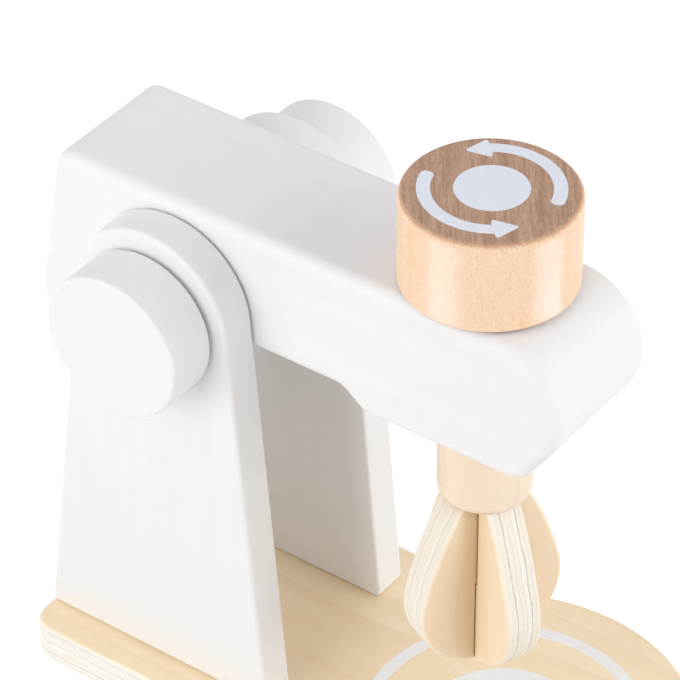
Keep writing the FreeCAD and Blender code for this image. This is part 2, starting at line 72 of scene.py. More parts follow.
# how far each screw's axis lies inside the box of all the screws
SCREW_HEAD_RADIUS = 0.004

# the studio, in metres: the floor glows by FLOOR_LIFT near by, and fully past the end of its fade
FLOOR_SIZE = 8
FLOOR_DROP = 0.0004
FLOOR_GREY = 0.8
FLOOR_LIFT = 0.42
FLOOR_FADE_START = 0.45
FLOOR_FADE_END = 1.3
WORLD_LIGHT = 0.385
SOFTBOX_DISTANCE = 1.5
SOFTBOX_SIZE = 1.1

# the two lamps that the dial's lacquer mirrors, at a low level close to it
GLINT_DISTANCE = 0.2
GLINT_LEVEL = 0.035
GLINT_HEIGHT = 0.1
GLINT_WATTS_PER_METRE = 3.6
GLINT_COLOR = (0.45, 0.68, 1)

# the camera: the point that it looks at, and its place from there
CAMERA_TARGET = Vector((0.02079, 0.02632, 0.102))
CAMERA_AZIMUTH = math.radians(36.242)
CAMERA_ELEVATION = math.radians(38.364)
CAMERA_ROLL = math.radians(-0.377)
CAMERA_DISTANCE = 1.17637
CAMERA_LENS_MM = 213.4
SENSOR_MM = 36


def shade(red, green, blue):
    """A display colour, 0 to 255 each, as the linear colour that a socket takes."""
    def linear(level):
        level /= 255
        return level / 12.92 if level <= 0.04045 else ((level + 0.055) / 1.055) ** 2.4
    return (linear(red), linear(green), linear(blue), 1)


# ---------------------------------------------------------------- building shader trees

def add(tree, kind, inputs=None, **settings):
    """Adds a node. An input is a plain value, or another node's output to join it to."""
    made = tree.nodes.new(kind)
    for setting, value in settings.items():
        setattr(made, setting, value)
    for socket, value in (inputs or {}).items():
        set_input(tree, made.inputs[socket], value)
    return made


def set_input(tree, socket, value):
    """Joins a socket to another node's output, or gives it a plain value."""
    if isinstance(value, bpy.types.NodeSocket):
        tree.links.new(value, socket)
    else:
        socket.default_value = value


def math_of(tree, operation, *values):
    """The result of a Math node."""
    return add(tree, "ShaderNodeMath", dict(enumerate(values)), operation=operation).outputs[0]


def plus(tree, first, second):
    """The sum of two values."""
    return math_of(tree, "ADD", first, second)


def minus(tree, first, second):
    """The first value less the second."""
    return math_of(tree, "SUBTRACT", first, second)


def times(tree, first, second):
    """The product of two values."""
    return math_of(tree, "MULTIPLY", first, second)


def vector_of(tree, operation, *values):
    """The result of a Vector Math node."""
    made = add(tree, "ShaderNodeVectorMath", dict(enumerate(values)), operation=operation)
    return made.outputs["Value" if operation in ("DOT_PRODUCT", "LENGTH") else "Vector"]


def split(tree, vector):
    """The X, Y and Z of a vector."""
    return add(tree, "ShaderNodeSeparateXYZ", {0: vector}).outputs


def join(tree, *parts):
    """A vector from its X, Y and Z."""
    return add(tree, "ShaderNodeCombineXYZ", dict(enumerate(parts))).outputs[0]


def ramp(tree, value, low, high, start=0.0, end=1.0):
    """Start below low, end above high, and a smooth change between them."""
    return add(tree, "ShaderNodeMapRange", {
        "Value": value, "From Min": low, "From Max": high, "To Min": start, "To Max": end,
    }, interpolation_type="SMOOTHSTEP").outputs["Result"]


def blend_values(tree, share, first, second):
    """Two values mixed by a share."""
    return add(tree, "ShaderNodeMix", {"Factor": share, "A": first, "B": second}).outputs[0]


def blend_colors(tree, share, first, second, mode="MIX"):
    """Two colours mixed by a share."""
    made = add(tree, "ShaderNodeMix", {"Factor": share}, data_type="RGBA", blend_type=mode)
    set_input(tree, made.inputs[6], first)
    set_input(tree, made.inputs[7], second)
    return made.outputs[2]


def tint(tree, color, toward, mask, amount):
    """A colour that goes toward another by an amount, where the mask is full."""
    return blend_colors(tree, times(tree, mask, amount), color, toward)


def noise(tree, place, scale, detail=2.0, roughness=0.5):
    """Smooth noise from 0 to 1."""
    return add(tree, "ShaderNodeTexNoise", {
        "Vector": place, "Scale": scale, "Detail": detail, "Roughness": roughness,
    }).outputs["Fac"]


def new_group(name, inputs, outputs):
    """An empty shader group; inputs and outputs are pairs of a socket's name and its kind."""
    tree = bpy.data.node_groups.new(name, "ShaderNodeTree")
    for socket, kind in inputs:
        tree.interface.new_socket(socket, in_out="INPUT", socket_type=f"NodeSocket{kind}")
    for socket, kind in outputs:
        tree.interface.new_socket(socket, in_out="OUTPUT", socket_type=f"NodeSocket{kind}")
    return tree, tree.nodes.new("NodeGroupInput").outputs, tree.nodes.new("NodeGroupOutput").inputs


def use(tree, group, **inputs):
    """Places a group in a material, and returns its outputs."""
    made = add(tree, "ShaderNodeGroup", node_tree=group)
    for name, value in inputs.items():
        set_input(tree, made.inputs[name.capitalize()], value)
    return made.outputs


# ---------------------------------------------------------------- effects that several finishes share

def make_own_axes():
    """A place or direction measured along a piece's own axes: its grain, across it, and through it."""
    tree, given, result = new_group("Own axes", [
        ("Vector", "Vector"), ("Centre", "Vector"),
        ("Grain", "Vector"), ("Across", "Vector"), ("Through", "Vector"),
    ], [("Place", "Vector")])
    apart = vector_of(tree, "SUBTRACT", given["Vector"], given["Centre"])
    shares = [vector_of(tree, "DOT_PRODUCT", apart, given[axis]) for axis in ("Grain", "Across", "Through")]
    tree.links.new(join(tree, *shares), result["Place"])
    return tree


def make_streaks():
    """Long fine streaks of wood fibre along X, and the short dark flecks between them."""
    tree, given, result = new_group("Wood streaks", [
        ("Place", "Vector"), ("Fineness", "Float"), ("Length", "Float"),
    ], [("Streaks", "Float"), ("Flecks", "Float")])
    along = math_of(tree, "DIVIDE", given["Fineness"], given["Length"])
    grid = join(tree, along, given["Fineness"], given["Fineness"])
    stretched = vector_of(tree, "MULTIPLY", given["Place"], grid)
    fine = noise(tree, stretched, scale=1.0, detail=4.0, roughness=0.62)
    broad = noise(tree, stretched, scale=0.23)
    both = plus(tree, times(tree, fine, 0.6), times(tree, broad, 0.4))
    tree.links.new(ramp(tree, both, low=0.34, high=0.66), result["Streaks"])
    small = noise(tree, stretched, scale=2.3, detail=1.0, roughness=0.4)
    tree.links.new(ramp(tree, small, low=0.64, high=0.74), result["Flecks"])
    return tree


def make_growth_rings():
    """Growth rings around a pith that runs along X: a slow darkening, then a sharp step."""
    tree, given, result = new_group("Growth rings", [
        ("Place", "Vector"), ("Pith", "Vector"), ("Width", "Float"), ("Wander", "Float"),
    ], [("Rings", "Float")])
    apart = vector_of(tree, "SUBTRACT", given["Place"], given["Pith"])
    flat = vector_of(tree, "MULTIPLY", apart, (0, 1, 1))
    wobble = noise(tree, vector_of(tree, "MULTIPLY", given["Place"], RING_WOBBLE), scale=1.0)
    bumpy = times(tree, minus(tree, wobble, 0.5), given["Wander"])
    radius = plus(tree, vector_of(tree, "LENGTH", flat), bumpy)
    turn = math_of(tree, "FRACT", math_of(tree, "DIVIDE", radius, given["Width"]))
    late = ramp(tree, turn, low=0.25, high=0.9)
    step = ramp(tree, turn, low=0.93, high=1.0, start=1.0, end=0.0)
    tree.links.new(times(tree, late, step), result["Rings"])
    return tree


def make_plies():
    """The layers of plywood: glue lines, of which every third is strong, crosswise plies, and tones."""
    tree, given, result = new_group("Plies", [
        ("Place", "Vector"), ("Ply", "Float"),
    ], [("Glue line", "Float"), ("Cross ply", "Float"), ("Tone", "Float")])
    wavy = times(tree, minus(tree, noise(tree, given["Place"], scale=120, detail=4.0), 0.5), 0.9)
    layer = plus(tree, math_of(tree, "DIVIDE", split(tree, given["Place"])["Z"], given["Ply"]), wavy)
    inside = math_of(tree, "FRACT", layer)
    from_line = math_of(tree, "MINIMUM", inside, minus(tree, 1.0, inside))
    number = math_of(tree, "FLOOR", layer)
    tone = add(tree, "ShaderNodeTexWhiteNoise", {"W": number}, noise_dimensions="1D").outputs["Value"]
    of_three = math_of(tree, "FLOORED_MODULO", math_of(tree, "ROUND", layer), 3.0)
    third = math_of(tree, "COMPARE", of_three, 2.0, 0.5)
    strength = plus(tree, 0.18, times(tree, third, 0.5))
    fading = ramp(tree, noise(tree, given["Place"], scale=260), low=0.3, high=0.6, start=0.45, end=1.0)
    line = ramp(tree, from_line, low=0.0, high=0.2, start=1.0, end=0.0)
    tree.links.new(times(tree, line, times(tree, strength, fading)), result["Glue line"])
    tree.links.new(math_of(tree, "PINGPONG", number, 1.0), result["Cross ply"])
    tree.links.new(tone, result["Tone"])
    return tree


def make_edge_wear():
    """A mask of the outer edges, broken up as handling breaks them."""
    tree, given, result = new_group("Edge wear", [
        ("Place", "Vector"), ("Reach", "Float"), ("Patches", "Float"),
    ], [("Wear", "Float")])
    rounded_normal = add(tree, "ShaderNodeBevel", {"Radius": given["Reach"]}, samples=4).outputs[0]
    true_normal = add(tree, "ShaderNodeNewGeometry").outputs["Normal"]
    turned = minus(tree, 1.0, vector_of(tree, "DOT_PRODUCT", rounded_normal, true_normal))
    patch = ramp(tree, noise(tree, given["Place"], given["Patches"], detail=3.0), low=0.35, high=0.7)
    tree.links.new(times(tree, ramp(tree, turned, low=0.01, high=0.12), patch), result["Wear"])
    return tree


def make_handling():
    """Faint smudges from hands, which change how a surface shines."""
    tree, given, result = new_group("Handling", [("Place", "Vector")], [("Smudge", "Float")])
    large = noise(tree, given["Place"], scale=22, detail=3.0, roughness=0.55)
    small = noise(tree, given["Place"], scale=160)
    both = plus(tree, times(tree, large, 0.7), times(tree, small, 0.3))
    tree.links.new(ramp(tree, both, low=0.35, high=0.65), result["Smudge"])
    return tree


OWN_AXES = make_own_axes()
STREAKS = make_streaks()
GROWTH_RINGS = make_growth_rings()
PLIES = make_plies()
EDGE_WEAR = make_edge_wear()
HANDLING = make_handling()


# ---------------------------------------------------------------- finishes

def new_finish(name):
    """A material, its tree, and the inputs of its Principled shader."""
    finish = bpy.data.materials.new(name)
    finish.use_nodes = True
    return finish, finish.node_tree, finish.node_tree.nodes["Principled BSDF"].inputs


def own_place(tree, grain=X, across=Y, through=Z, centre=(0, 0, 0)):
    """Where a point of the piece is along the piece's own axes, and which way its surface faces there."""
    coordinates = add(tree, "ShaderNodeTexCoord").outputs
    axes = {"grain": grain, "across": across, "through": through}
    place = use(tree, OWN_AXES, vector=coordinates["Object"], centre=centre, **axes)["Place"]
    facing = use(tree, OWN_AXES, vector=coordinates["Normal"], **axes)["Place"]
    return place, split(tree, facing)


def bump(tree, height, distance, strength):
    """A bumped normal; the distance is the real height of the bumps in metres."""
    return add(tree, "ShaderNodeBump", {
        "Height": height, "Distance": distance, "Strength": strength,
    }).outputs["Normal"]


def smudged(tree, place, clean, touched):
    """A roughness that handling changes a little."""
    smudge = use(tree, HANDLING, place=place)["Smudge"]
    return ramp(tree, smudge, low=0.0, high=1.0, start=clean, end=touched)


def white_paint(name, grain, across, through):
    """Satin white paint over sanded wood: a rolled texture, a hint of grain, thinner paint on the edges."""
    finish, tree, surface = new_finish(name)
    place, _ = own_place(tree, grain, across, through)
    thin_paint, thick_paint = shade(239, 238, 238), shade(243, 242, 241)
    wood_below, worn_edge = shade(214, 209, 203), shade(226, 214, 196)
    wood = use(tree, STREAKS, place=place, fineness=900, length=30)
    rolled = noise(tree, place, scale=1500, detail=3.0, roughness=0.6)
    wear = use(tree, EDGE_WEAR, place=place, reach=0.0009, patches=170)["Wear"]
    paint = blend_colors(tree, noise(tree, place, scale=14), thin_paint, thick_paint)
    grained = tint(tree, paint, wood_below, wood["Streaks"], amount=0.05)
    tree.links.new(tint(tree, grained, worn_edge, wear, amount=0.16), surface["Base Color"])
    tree.links.new(smudged(tree, place, clean=0.46, touched=0.56), surface["Roughness"])
    height = plus(tree, times(tree, rolled, 0.6), times(tree, wood["Streaks"], 0.4))
    tree.links.new(bump(tree, height, distance=0.00003, strength=0.55), surface["Normal"])
    surface["IOR"].default_value = 1.48
    return finish


def figured_veneer(tree, place, wood, colors):
    """The face of a plywood board: cloudy, with growth rings, streaks and flecks."""
    light, dark, fleck = colors
    figure = use(tree, GROWTH_RINGS, place=place, pith=BOARD_PITH, width=0.011, wander=0.03)["Rings"]
    cloudy = noise(tree, vector_of(tree, "MULTIPLY", place, (0.35, 1, 1)), scale=60, detail=3.0)
    plain = blend_colors(tree, ramp(tree, cloudy, low=0.3, high=0.7), light, dark)
    figured = tint(tree, plain, fleck, figure, amount=0.22)
    streaked = tint(tree, figured, dark, wood["Streaks"], amount=0.25)
    return tint(tree, streaked, fleck, wood["Flecks"], amount=0.2)


def layered_edge(tree, layers, end_dots, colors):
    """The cut edge of plywood: long and cross grain in turn, and the glue between them."""
    light, cross, glue = colors
    long_grain = tint(tree, light, cross, layers["Tone"], amount=0.45)
    cross_grain = blend_colors(tree, ramp(tree, end_dots, low=0.4, high=0.62), cross, light)
    layered = blend_colors(tree, layers["Cross ply"], long_grain, cross_grain)
    return blend_colors(tree, layers["Glue line"], layered, glue)


def birch_plywood(name, plies, board, face, edge, corner_shade, grain, across, through, centre):
    """Sealed birch plywood: a pale figured face, bare plies on every cut edge, and painted shade in inner
    corners.
    """
    finish, tree, surface = new_finish(name)
    place, facing = own_place(tree, grain, across, through, centre)
    wood = use(tree, STREAKS, place=place, fineness=1100, length=26)
    layers = use(tree, PLIES, place=place, ply=board / plies)
    end_dots = noise(tree, place, scale=2600, roughness=0.7)
    flat = ramp(tree, math_of(tree, "ABSOLUTE", facing["Z"]), low=0.55, high=0.85)
    color = blend_colors(
        tree, flat, layered_edge(tree, layers, end_dots, edge), figured_veneer(tree, place, wood, face))
    # painted shade: where ambient occlusion finds other surfaces close by, the colour is darkened toward a
    # shade tone
    open_sky = add(tree, "ShaderNodeAmbientOcclusion", {"Distance": 0.03}, samples=4).outputs["AO"]
    painted_shade_share = ramp(tree, open_sky, low=0.6, high=0.85, start=corner_shade, end=0.0)
    painted_shade_tone = shade(209, 181, 143)
    tree.links.new(blend_colors(tree, painted_shade_share, color, painted_shade_tone, "MULTIPLY"), surface["Base Color"])
    sheen = smudged(tree, place, clean=0.50, touched=0.62)
    bare = ramp(tree, flat, low=0.0, high=1.0, start=0.18, end=0.0)
    tree.links.new(plus(tree, sheen, bare), surface["Roughness"])
    face_height = minus(tree, 1.0, times(tree, wood["Streaks"], 0.6))
    edge_height = plus(tree, times(tree, end_dots, 0.5), times(tree, layers["Glue line"], -1.2))
    height = blend_values(tree, flat, edge_height, face_height)
    tree.links.new(bump(tree, height, distance=0.00006, strength=0.6), surface["Normal"])
    tree.links.new(times(tree, flat, 0.8), surface["Coat Weight"])
    surface["Coat Roughness"].default_value = 0.41
    surface["Coat IOR"].default_value = 2.2
    return finish


def beech_side(tree, place, wood, rings, colors, speckling):
    """Turned side grain: rings and streaks, short flecks, and fine specks over them."""
    light, dark, fleck = colors
    ringed = tint(tree, light, dark, rings, amount=0.35)
    streaked = tint(tree, ringed, dark, wood["Streaks"], amount=0.35)
    flecked = tint(tree, streaked, fleck, wood["Flecks"], amount=0.2)
    stretched = vector_of(tree, "MULTIPLY", place, (0.5, 1, 1))
    specks = noise(tree, stretched, scale=1900, detail=3.0, roughness=0.75)
    return blend_colors(tree, ramp(tree, specks, low=0.45, high=0.75, end=speckling), flecked, fleck)


def beech_end(tree, rings, rays, pores, colors):
    """Turned end grain: rays over faint rings, with dark pores."""
    light, dark, ray = colors
    ringed = tint(tree, light, dark, rings, amount=0.12)
    rayed = tint(tree, ringed, dark, rays["Streaks"], amount=0.75)
    lit = tint(tree, rayed, ray, rays["Flecks"], amount=0.6)
    return blend_colors(tree, ramp(tree, pores, low=0.45, high=0.62, end=0.8), lit, dark)


def turned_beech(name, side, rim, end, speckling, grain, across, through, centre):
    """Lacquered beech from a lathe: flecked side grain, darker end grain, and a warm rim between them."""
    finish, tree, surface = new_finish(name)
    place, facing = own_place(tree, grain, across, through, centre)
    wood = use(tree, STREAKS, place=place, fineness=1300, length=16)
    rings = use(tree, GROWTH_RINGS, place=place, pith=DIAL_PITH, width=0.0042, wander=0.004)["Rings"]
    along_grain = split(tree, place)
    end_place = join(tree, along_grain["Y"], along_grain["Z"], along_grain["X"])
    rays = use(tree, STREAKS, place=end_place, fineness=1500, length=14)
    pores = noise(tree, place, scale=3200, roughness=0.6)

    toward_end = math_of(tree, "ABSOLUTE", facing["X"])
    torn = times(tree, minus(tree, noise(tree, place, scale=1500, detail=3.0), 0.5), 1.6)
    torn_rim = times(tree, torn, minus(tree, 1.0, toward_end))
    end_share = ramp(tree, plus(tree, toward_end, torn_rim), low=0.4, high=0.98)
    half_way = times(tree, end_share, minus(tree, 1.0, end_share))
    side_grain = beech_side(tree, place, wood, rings, side, speckling)
    turned_over = blend_colors(tree, end_share, side_grain, beech_end(tree, rings, rays, pores, end))
    tree.links.new(tint(tree, turned_over, rim, half_way, amount=1.8), surface["Base Color"])

    sheen = smudged(tree, place, clean=0.24, touched=0.32)
    end_rough = ramp(tree, end_share, low=0.0, high=1.0, end=0.22)
    tree.links.new(plus(tree, sheen, end_rough), surface["Roughness"])
    lathe = noise(tree, vector_of(tree, "MULTIPLY", place, (2600, 40, 40)), scale=1.0)
    side_height = minus(tree, times(tree, lathe, 0.35), wood["Flecks"])
    end_height = minus(tree, rays["Streaks"], pores)
    height = blend_values(tree, end_share, side_height, end_height)
    tree.links.new(bump(tree, height, distance=0.00003, strength=0.5), surface["Normal"])
    surface["Specular IOR Level"].default_value = 0.15
    return finish


def print_ink(name, pale, paler, grain, across, through):
    """A thin film of pale ink, which lets a little of the wood's grain through."""
    finish, tree, surface = new_finish(name)
    place, _ = own_place(tree, grain, across, through)
    grain_below, speck_below = shade(205, 196, 192), shade(190, 172, 158)
    wood = use(tree, STREAKS, place=place, fineness=1300, length=14)
    specks = noise(tree, place, scale=1900, detail=3.0, roughness=0.65)
    patchy = noise(tree, place, scale=240)
    ink = blend_colors(tree, patchy, pale, paler)
    grained = tint(tree, ink, grain_below, wood["Streaks"], amount=0.1)
    color = blend_colors(tree, ramp(tree, specks, low=0.66, high=0.8, end=0.25), grained, speck_below)
    tree.links.new(color, surface["Base Color"])
    tree.links.new(ramp(tree, patchy, low=0.3, high=0.7, start=0.42, end=0.52), surface["Roughness"])
    height = plus(tree, wood["Streaks"], specks)
    tree.links.new(bump(tree, height, distance=0.00002, strength=0.5), surface["Normal"])
    return finish


def grey_nylon():
    """Moulded grey nylon, faintly matt and mottled."""
    finish, tree, surface = new_finish("Grey nylon")
    place, _ = own_place(tree)
    grainy = noise(tree, place, scale=2200, roughness=0.6)
    cloudy = noise(tree, place, scale=130)
    color = blend_colors(tree, cloudy, shade(92, 92, 94), shade(112, 111, 110))
    tree.links.new(color, surface["Base Color"])
    tree.links.new(ramp(tree, grainy, low=0.3, high=0.7, start=0.48, end=0.62), surface["Roughness"])
    tree.links.new(bump(tree, grainy, distance=0.00002, strength=0.5), surface["Normal"])
    return finish


def zinc_screws(low, high):
    """Zinc-plated screws: turning marks around each screw's own axis, and a dull cast."""
    finish, tree, surface = new_finish("Zinc-plated screw")
    place, _ = own_place(tree, centre=((low.x + high.x) / 2, 0, 0))
    parts = split(tree, place)
    squares = []
    for axis, outer in (("X", (high.x - low.x) / 2), ("Y", high.y)):
        from_axis = minus(tree, math_of(tree, "ABSOLUTE", parts[axis]), outer - SCREW_HEAD_RADIUS)
        squares.append(math_of(tree, "POWER", from_axis, 2.0))
    radius = math_of(tree, "SQRT", plus(tree, *squares))
    marks = add(tree, "ShaderNodeTexNoise", {"W": radius, "Scale": 9000}, noise_dimensions="1D")
    dull = noise(tree, place, scale=700, detail=3.0)
    color = blend_colors(tree, dull, shade(205, 207, 212), shade(178, 180, 180))
    tree.links.new(color, surface["Base Color"])
    tree.links.new(ramp(tree, dull, low=0.3, high=0.7, start=0.28, end=0.42), surface["Roughness"])
    tree.links.new(bump(tree, marks.outputs["Fac"], distance=0.00001, strength=0.6), surface["Normal"])
    surface["Metallic"].default_value = 1
    return finish


# ---------------------------------------------------------------- printed marks

def point_on_circle(radius, angle):
    """A point on a circle about the origin; the angle is counted from +X."""
    return Vector((radius * math.cos(angle), radius * math.sin(angle)))


def arc(radius, start, end, steps):
    """Points on a circle about the origin, from one angle to another."""
    return [point_on_circle(radius, start + (end - start) * step / steps) for step in range(steps + 1)]


def circle(radius):
    """The points of a whole circle about the origin."""
    return arc(radius, 0, 2 * math.pi, CIRCLE_STEPS)[:-1]


def rounded(before, corner, after, radius):
    """A corner of an outline, rounded with a small curve between its two sides."""
    start = corner + (before - corner).normalized() * radius
    end = corner + (after - corner).normalized() * radius
    curve = []
    for step in range(CORNER_STEPS + 1):
        share = step / CORNER_STEPS
        curve.append(start.lerp(corner, share).lerp(corner.lerp(end, share), share))
    return curve


def arrow_outline(turn):
    """A curved arrow: a band that follows the dial's rim from a rounded tail to a broad head."""
    after_tail = ARROW_TAIL_ANGLE + ARROW_TAIL_SPARE * ARROW_TAIL_ROUND / ARROW_INNER_RADIUS
    outer = arc(ARROW_OUTER_RADIUS, after_tail, ARROW_OUTER_BARB_ANGLE - ARROW_NOTCH_ANGLE, ARROW_STEPS)
    inner = arc(ARROW_INNER_RADIUS, ARROW_INNER_BARB_ANGLE, after_tail, ARROW_STEPS)
    outer_barb = point_on_circle(ARROW_OUTER_BARB_RADIUS, ARROW_OUTER_BARB_ANGLE)
    inner_barb = point_on_circle(ARROW_INNER_BARB_RADIUS, ARROW_INNER_BARB_ANGLE)
    tip = point_on_circle(ARROW_TIP_RADIUS, ARROW_TIP_ANGLE)
    inner_tail = point_on_circle(ARROW_INNER_RADIUS, ARROW_TAIL_ANGLE)
    outer_tail = point_on_circle(ARROW_OUTER_RADIUS, ARROW_TAIL_ANGLE)
    points = outer + rounded(outer[-1], outer_barb, tip, ARROW_HEAD_ROUND)
    points += rounded(outer_barb, tip, inner_barb, ARROW_HEAD_ROUND)
    points += rounded(tip, inner_barb, inner[0], ARROW_HEAD_ROUND) + inner
    points += rounded(inner[-1], inner_tail, outer_tail, ARROW_TAIL_ROUND)
    points += rounded(inner_tail, outer_tail, outer[0], ARROW_TAIL_ROUND)
    cosine, sine = math.cos(turn), math.sin(turn)
    return [Vector((p.x * cosine - p.y * sine, p.x * sine + p.y * cosine)) for p in points]


def printed_film(name, centre, outline, hole=None):
    """A closed film of ink that lies on a wooden face, cut to an outline with or without a hole."""
    mesh = bmesh.new()
    rims = {}
    for level, height in (("low", -FILM_SUNK), ("high", FILM_THICKNESS)):
        for edge, points in (("out", outline), ("in", hole or [])):
            rims[edge, level] = [
                mesh.verts.new((centre.x + p.x, centre.y + p.y, centre.z + height)) for p in points]
    for edge in ("out", "in"):
        low, high = rims[edge, "low"], rims[edge, "high"]
        for here in range(len(low)):
            mesh.faces.new((low[here - 1], low[here], high[here], high[here - 1]))
    for level in ("low", "high"):
        outer, inner = rims["out", level], rims["in", level]
        if hole:
            for here in range(len(outer)):
                mesh.faces.new((outer[here - 1], outer[here], inner[here], inner[here - 1]))
        else:
            mesh.faces.new(outer)
    mesh.normal_update()
    caps = [face for face in mesh.faces if len(face.verts) > 4]
    bmesh.ops.triangulate(mesh, faces=caps, ngon_method="EAR_CLIP")
    bmesh.ops.recalc_face_normals(mesh, faces=mesh.faces)
    data = bpy.data.meshes.new(name)
    mesh.to_mesh(data)
    mesh.free()
    film = bpy.data.objects.new(name, data)
    bpy.context.scene.collection.objects.link(film)
    return film


def print_marks(marks, body, ink):
    """Gives printed marks their ink, and lets them ride on the wood that they are printed on."""
    for mark in marks:
        mark.data.materials.append(ink)
        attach(mark, body)


def mark_dial():
    """The disc on top of the dial, and the two arrows that run around it."""
    _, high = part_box("dial_knob")
    top = middle("dial_knob") + DIAL_PRINT_OFFSET
    top.z = high.z
    marks = [
        printed_film("dial_disc_print", top, circle(DIAL_DISC_RADIUS)),
        printed_film("dial_arrow_print_1", top, arrow_outline(0)),
        printed_film("dial_arrow_print_2", top, arrow_outline(math.pi)),
    ]
    ray = plan_direction(DIAL_RAY_ANGLE)
    print_marks(marks, "whisk", print_ink(
        "Print on the dial", pale=shade(232, 235, 244), paler=shade(238, 240, 246),
        grain=ray, across=Z, through=ray.cross(Vector(Z))))


def mark_base():
    """The ring and disc that show where a bowl stands, about the middle of the base's round end."""
    _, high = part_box("base_board")
    lobe_radius = high.y
    seat = Vector((high.x - lobe_radius, 0, high.z))
    ring, hole = circle(BOWL_RING_OUTER_RADIUS), circle(BOWL_RING_INNER_RADIUS)
    marks = [
        printed_film("bowl_ring_print", seat, ring, hole),
        printed_film("bowl_disc_print", seat, circle(BOWL_DISC_RADIUS)),
    ]
    print_marks(marks, "stand", print_ink(
        "Print on the base", pale=shade(247, 247, 248), paler=shade(251, 251, 250),
        grain=X, across=Y, through=Z))


# ---------------------------------------------------------------- the pieces and their finishes

def plan_direction(angle):
    """A level direction at an angle from +X."""
    return Vector((math.cos(angle), math.sin(angle), 0))


def corners(node):
    """The points of a node's mesh."""
    return [vertex.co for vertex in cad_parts[node].data.vertices]


def plate_heading(node):
    """The level direction in which an upright plate is widest."""
    points = np.array([corner[:2] for corner in corners(node)])
    _, directions = np.linalg.eigh(np.cov((points - points.mean(0)).T))
    return Vector((directions[0, 1], directions[1, 1], 0)).normalized()


def plate_thickness(node, through):
    """How thick a plate is in a level direction."""
    depths = [corner.dot(through) for corner in corners(node)]
    return max(depths) - min(depths)


def middle(node):
    """The middle of a node's box."""
    low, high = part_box(node)
    return (low + high) / 2


def dress(node, finish):
    """Gives a piece its finish."""
    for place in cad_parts[node].material_slots:
        place.material = finish


def dress_painted_pieces():
    """Posts and knobs have their grain upright, and the head has it along its length."""
    for node, along, across, through in (
        ("right_post", Z, X, Y), ("left_post", Z, X, Y), ("head_block", X, Y, Z),
        ("right_knob", Z, X, Y), ("left_knob", Z, X, Y),
    ):
        dress(node, white_paint(f"White paint on {node}", along, across, through))


def dress_base():
    """The base lies flat, with its grain along it and its plies counted from below."""
    low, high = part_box("base_board")
    face = shade(253, 231, 193), shade(248, 221, 177), shade(227, 186, 134)
    edge = shade(253, 250, 243), shade(244, 234, 218), shade(186, 172, 156)
    dress("base_board", birch_plywood(
        "Birch plywood of the base", BASE_PLIES, high.z - low.z, face, edge,
        corner_shade=0.0, grain=X, across=Y, through=Z, centre=low))


def dress_whisk_blades():
    """The two plates of the whisk stand upright, with their grain upright too."""
    face = shade(249, 230, 198), shade(245, 221, 184), shade(227, 190, 144)
    # the across plate gets painted shade in the corners where the along plate stands close to it; the along
    # plate gets none
    for node, glue, corner_shade in (
        ("whisk_blade_along", shade(150, 144, 136), 0.0),
        ("whisk_blade_across", shade(206, 194, 174), 1.0),
    ):
        edge = shade(248, 240, 227), shade(241, 230, 212), glue
        heading = plate_heading(node)
        through = heading.cross(Vector(Z))
        thickness = plate_thickness(node, through)
        outer_side = middle("dial_knob") - through * thickness / 2
        dress(node, birch_plywood(
            f"Birch plywood of {node}", BLADE_PLIES, thickness, face, edge, corner_shade,
            grain=Z, across=heading, through=through, centre=outer_side))


def dress_beech():
    """The dial and the collar are turned with their grain upright; the dowels lie along their own axes."""
    ray = plan_direction(DIAL_RAY_ANGLE)
    beside_ray = ray.cross(Vector(Z))
    axis = middle("dial_knob")
    dial_side = shade(251, 219, 186), shade(245, 204, 164), shade(230, 176, 134)
    dial_rim = shade(222, 160, 120)
    dial_end = shade(217, 181, 155), shade(160, 122, 96), shade(224, 192, 166)
    dress("dial_knob", turned_beech(
        "Lacquered beech of the dial", dial_side, dial_rim, dial_end,
        speckling=0.6, grain=Z, across=ray, through=beside_ray, centre=axis))
    pale_side = shade(248, 228, 204), shade(243, 218, 189), shade(231, 200, 164)
    pale_rim = shade(224, 190, 152)
    pale_end = shade(214, 182, 150), shade(186, 150, 116), shade(224, 196, 166)
    for node, grain, across, through, centre in (
        ("whisk_collar", Z, ray, beside_ray, axis),
        ("whisk_spindle", Z, X, Y, middle("whisk_spindle")),
        ("post_dowels", Z, X, Y, middle("post_dowels")),
        ("pivot_axle", Y, Z, X, middle("pivot_axle")),
        ("stop_bar", Y, Z, X, middle("stop_bar")),
    ):
        dress(node, turned_beech(
            f"Pale beech of {node}", pale_side, pale_rim, pale_end,
            speckling=0.1, grain=grain, across=across, through=through, centre=centre))


def dress_fittings():
    """The washers between moving pieces, and the screws under the base."""
    nylon = grey_nylon()
    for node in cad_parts:
        if node.endswith("washer"):
            dress(node, nylon)
    dress("post_screws", zinc_screws(*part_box("post_screws")))


# ---------------------------------------------------------------- the studio

def white_where_seen(tree, other):
    """A strength of 1 for what is seen directly, mirrored or through glass, and another for all else."""
    seen = add(tree, "ShaderNodeLightPath").outputs
    mirrored = math_of(tree, "MAXIMUM", seen["Is Glossy Ray"], seen["Is Transmission Ray"])
    direct = math_of(tree, "MAXIMUM", seen["Is Camera Ray"], mirrored)
    return ramp(tree, direct, low=0.0, high=1.0, start=other, end=1.0)


